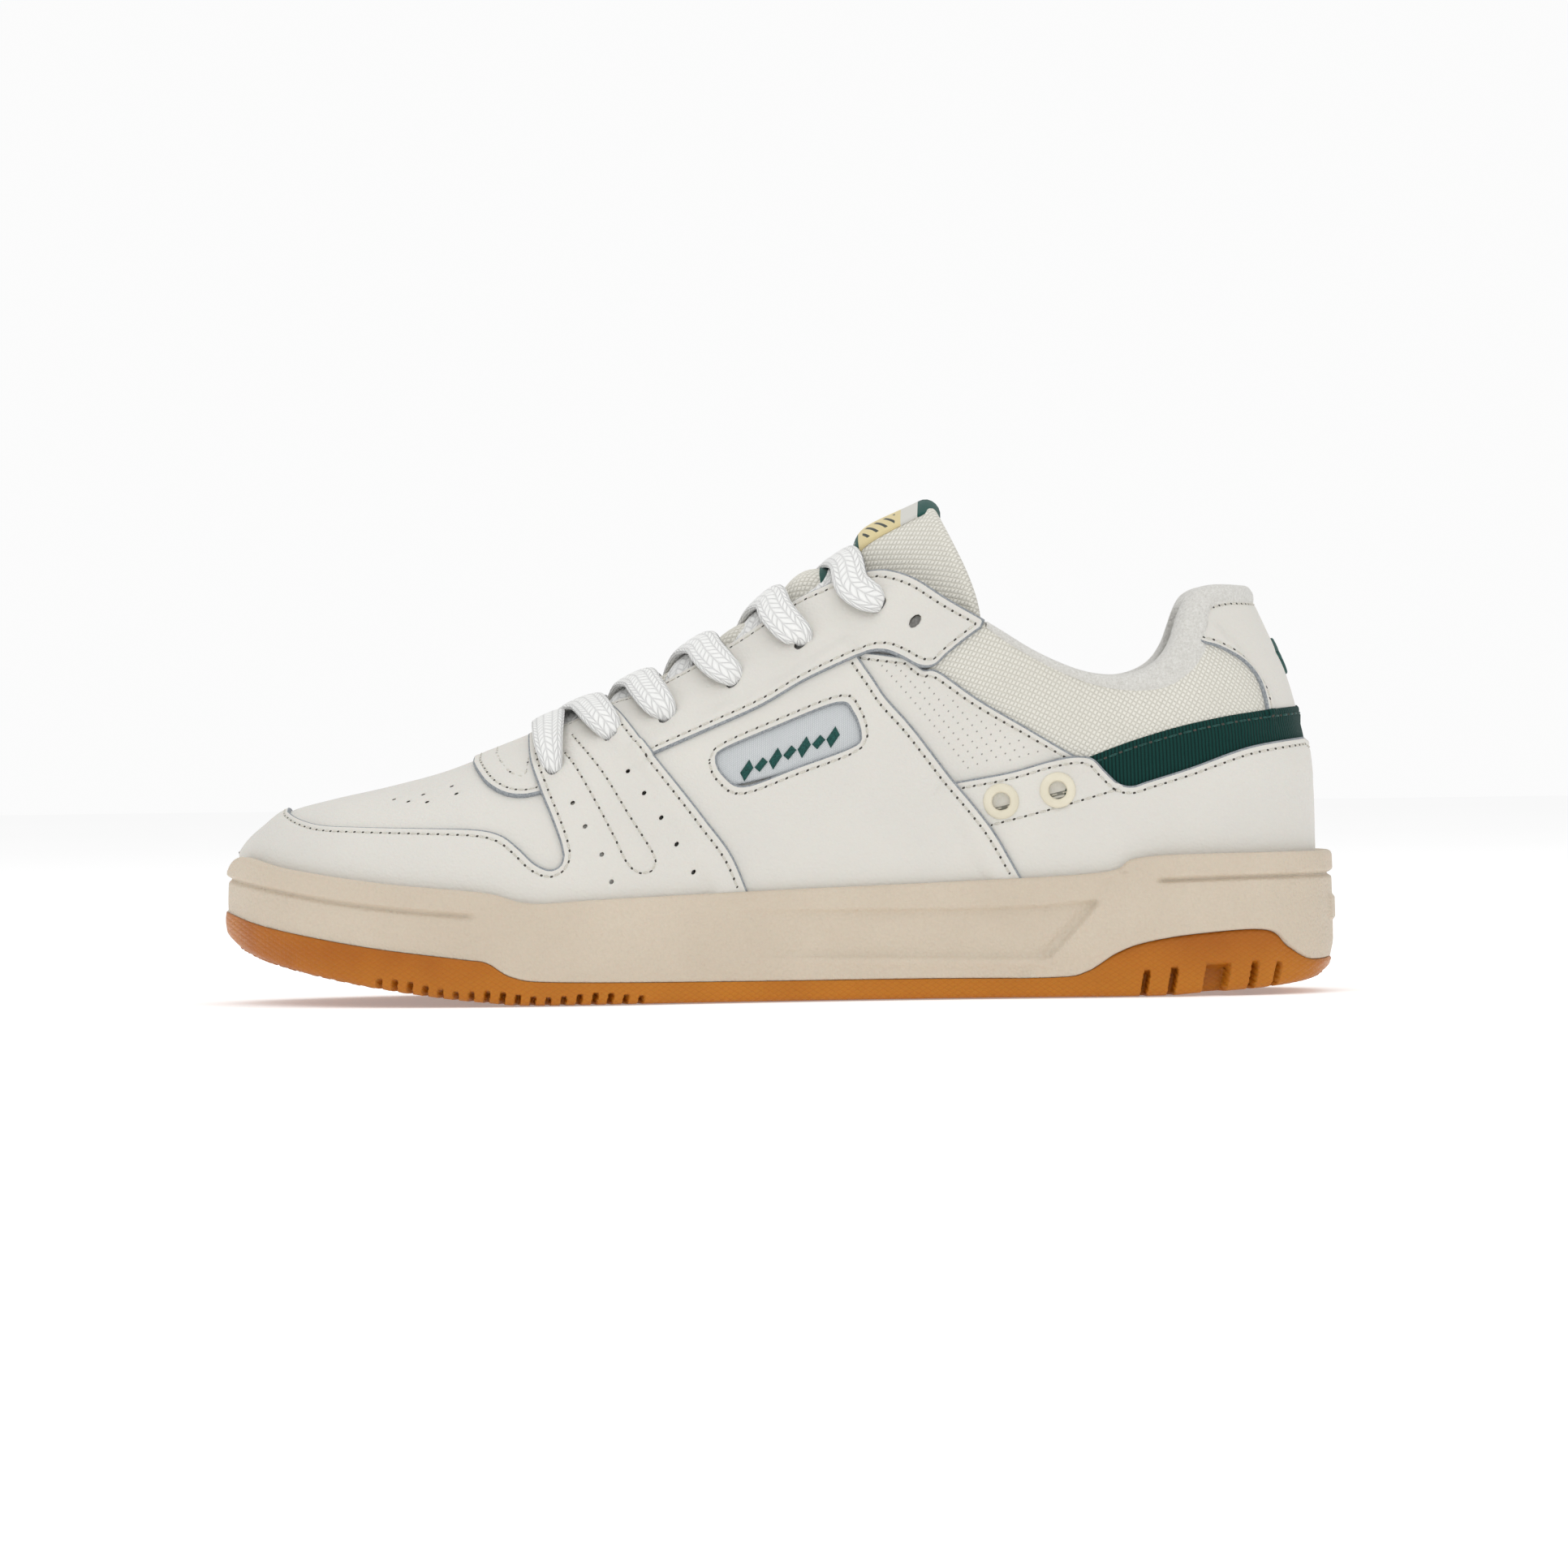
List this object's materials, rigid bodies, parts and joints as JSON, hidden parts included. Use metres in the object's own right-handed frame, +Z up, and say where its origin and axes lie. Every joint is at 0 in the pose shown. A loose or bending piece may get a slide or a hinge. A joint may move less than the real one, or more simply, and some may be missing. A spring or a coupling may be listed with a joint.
{
  "type": "court shoe",
  "caption": "Low leather court shoe for the left foot: layered leather and canvas upper, flat laces, padded tongue and collar, rubber cup sole.",
  "frame": {"origin": "on the ground under the middle of the sole, midway between toe tip and heel and between the sole's two sides", "axes": "+X to the heel, +Y to the inner side of the foot, +Z up; the toe points to -X"},
  "size_m": [0.2976, 0.1041, 0.1335],
  "materials": {
    "gum_rubber": "amber gum rubber, semi-gloss, fine moulded texture",
    "cream_rubber": "cream moulded rubber, matt, pebbled side wall",
    "foam": "soft open-cell foam",
    "lining_cloth": "plain woven lining cloth",
    "stiffener": "moulded thermoplastic sheet",
    "white_leather": "smooth off-white leather, fine grain, grey-blue cut edges",
    "twill": "pale grey satin twill",
    "canvas": "cream basket-weave canvas",
    "brushed_lining": "white brushed loop lining",
    "green_thread": "dark green satin-stitch thread",
    "green_ribbon": "dark green ribbed grosgrain ribbon",
    "ring_plastic": "cream moulded plastic",
    "lace_cotton": "white flat woven lace",
    "tip_plastic": "clear white plastic film",
    "label_ribbon": "woven ribbon with green, white and pale yellow blocks"
  },
  "bodies": {
    "shoe": {"outsole": "gum_rubber", "midsole_cup": "cream_rubber", "midsole_foam": "foam", "strobel_board": "lining_cloth", "sockliner": "lining_cloth", "toe_puff": "stiffener", "heel_counter": "stiffener", "vamp": "white_leather", "vamp_lining": "lining_cloth", "mudguard": "white_leather", "throat_patch": "white_leather", "quarter_lining_outer": "lining_cloth", "quarter_lining_inner": "lining_cloth", "mid_panel_outer": "white_leather", "mid_panel_inner": "white_leather", "window_patch_outer": "twill", "window_patch_inner": "twill", "vent_panel_outer": "white_leather", "vent_panel_inner": "white_leather", "collar_canvas_outer": "canvas", "collar_canvas_inner": "canvas", "collar_foam": "foam", "collar_lining": "brushed_lining", "heel_tab": "white_leather", "heel_motif": "green_thread", "heel_ribbon": "green_ribbon", "foxing": "white_leather", "vent_rings": "ring_plastic", "eyestay_outer": "white_leather", "eyestay_inner": "white_leather", "lace": "lace_cotton", "lace_tips": "tip_plastic"},
    "tongue": {"tongue_canvas": "canvas", "tongue_foam": "foam", "tongue_lining": "brushed_lining", "tongue_label": "label_ribbon"}
  },
  "joints": [
    {"name": "tongue_pivot", "type": "hinge", "parent": "shoe", "child": "tongue", "pos_m": [-0.059, 0, 0.066], "axis": [0, 1, 0], "range_deg": [0, 10]}
  ]
}
